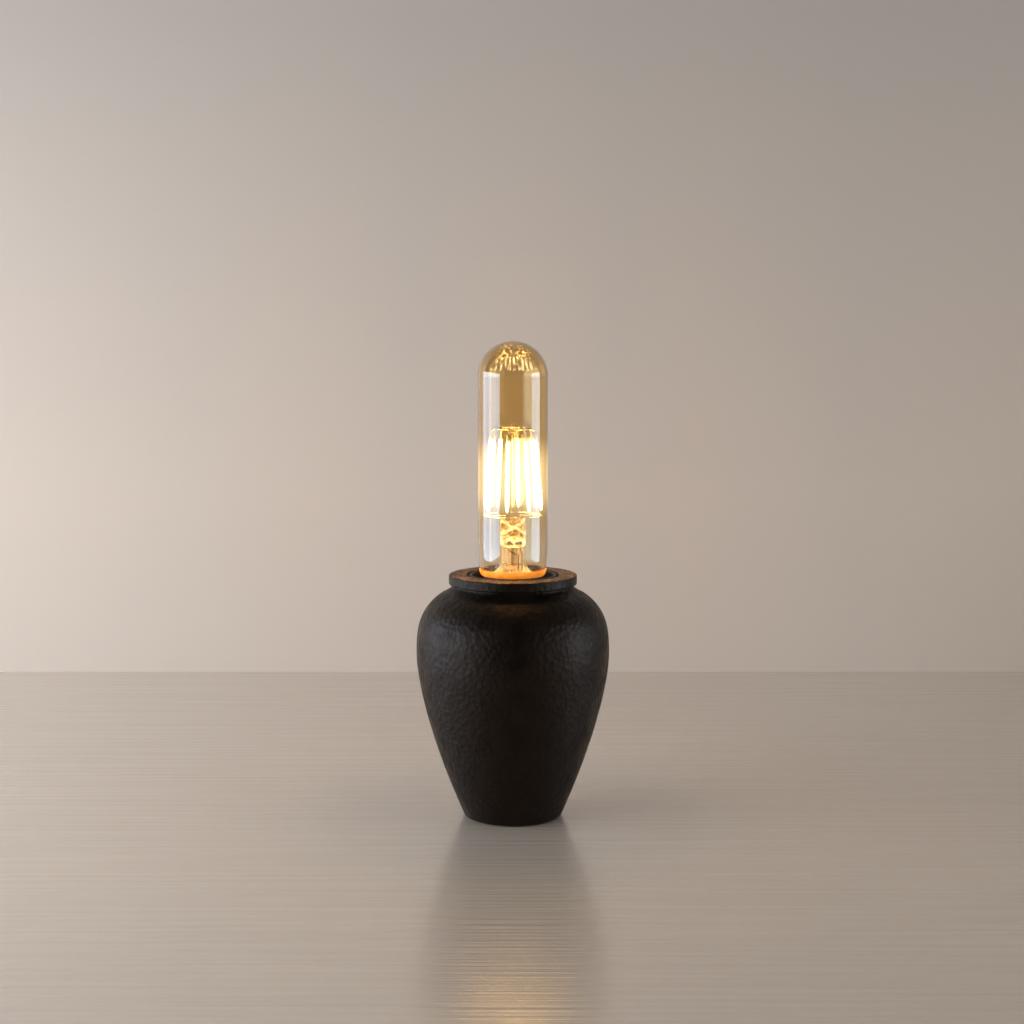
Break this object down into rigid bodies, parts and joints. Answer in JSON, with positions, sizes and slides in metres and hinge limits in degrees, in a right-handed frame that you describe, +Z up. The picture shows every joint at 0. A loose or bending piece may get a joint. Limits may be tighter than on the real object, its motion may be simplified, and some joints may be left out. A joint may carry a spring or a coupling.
{
  "type": "bare bulb table lamp",
  "caption": "Small table lamp: a dark stoneware jar with a lampholder sunk in its mouth and a bare tubular amber filament bulb that unscrews.",
  "frame": {"origin": "middle of the felt pad's underside, on the table", "axes": "+Z up along the axis of the jar and the bulb, -Y the front, +Y the back where the cord goes in"},
  "size_m": [0.0888, 0.0888, 0.219],
  "materials": {
    "dark_stoneware": "satin, waxed dark iron glaze",
    "grey_felt": "felt",
    "black_rubber": "matte",
    "zinc_steel": "bright zinc",
    "black_steel": "black oxide",
    "lamp_brass": "plain",
    "cap_brass": "satin",
    "tip_metal": "soldered",
    "black_phenolic": "satin moulded",
    "porcelain": "unglazed",
    "brown_insulation": "satin",
    "blue_insulation": "satin",
    "clear_nylon": "moulded",
    "black_vitrite": "glossy",
    "amber_collar": "translucent, lit from inside",
    "amber_glass": "gold tinted, polished",
    "clear_glass": "polished",
    "nickel_wire": "drawn wire",
    "filament_phosphor": "phosphor coat, lit",
    "board_laminate": "laminate",
    "capacitor_sleeve": "heat shrunk",
    "chip_resin": "moulded",
    "resistor_lacquer": "lacquered"
  },
  "bodies": {
    "base": {"jar": "dark_stoneware", "foot_pad": "grey_felt", "cord_bushing": "black_rubber", "threaded_tube": "lamp_brass", "lower_nut": "zinc_steel", "upper_nut": "zinc_steel", "steel_washers": "zinc_steel", "rubber_washers": "black_rubber", "holder_locknut": "zinc_steel", "holder_cup": "black_phenolic", "grub_screw": "black_steel", "holder_insert": "porcelain", "screw_shell": "lamp_brass", "centre_contact": "lamp_brass", "neutral_strip": "lamp_brass", "terminal_screws": "lamp_brass", "holder_skirt": "black_phenolic", "live_lead": "brown_insulation", "neutral_lead": "blue_insulation", "crimp_connectors": "clear_nylon"},
    "bulb_foot": {"tip_contact": "tip_metal", "cap_insulator": "black_vitrite"},
    "bulb": {"bulb_cap": "cap_brass", "bulb_collar": "amber_collar", "bulb_glass": "amber_glass", "stem": "clear_glass", "exhaust_tube": "clear_glass", "support_rod": "clear_glass", "top_ring": "nickel_wire", "filament_1": "filament_phosphor", "filament_2": "filament_phosphor", "filament_3": "filament_phosphor", "filament_4": "filament_phosphor", "filament_5": "filament_phosphor", "filament_6": "filament_phosphor", "filament_7": "filament_phosphor", "filament_8": "filament_phosphor", "live_carrier": "nickel_wire", "return_carrier": "nickel_wire", "lead_in_wires": "nickel_wire", "driver_board": "board_laminate", "capacitor": "capacitor_sleeve", "rectifier": "chip_resin", "driver_chip": "chip_resin", "fuse_resistor": "resistor_lacquer", "return_wire": "nickel_wire"}
  },
  "joints": [
    {"name": "bulb_lift", "type": "slide", "parent": "base", "child": "bulb_foot", "axis": [0, 0, 1], "range_m": [0, 0.01452]},
    {"name": "bulb_turn", "type": "hinge", "parent": "bulb_foot", "child": "bulb", "pos_m": [0, 0, 0.0852], "axis": [0, 0, 1], "range_deg": [0, 1440]}
  ],
  "couplings": [
    {"joint": "bulb_lift", "follows": "bulb_turn", "m_per_rad": 0.00057757}
  ]
}
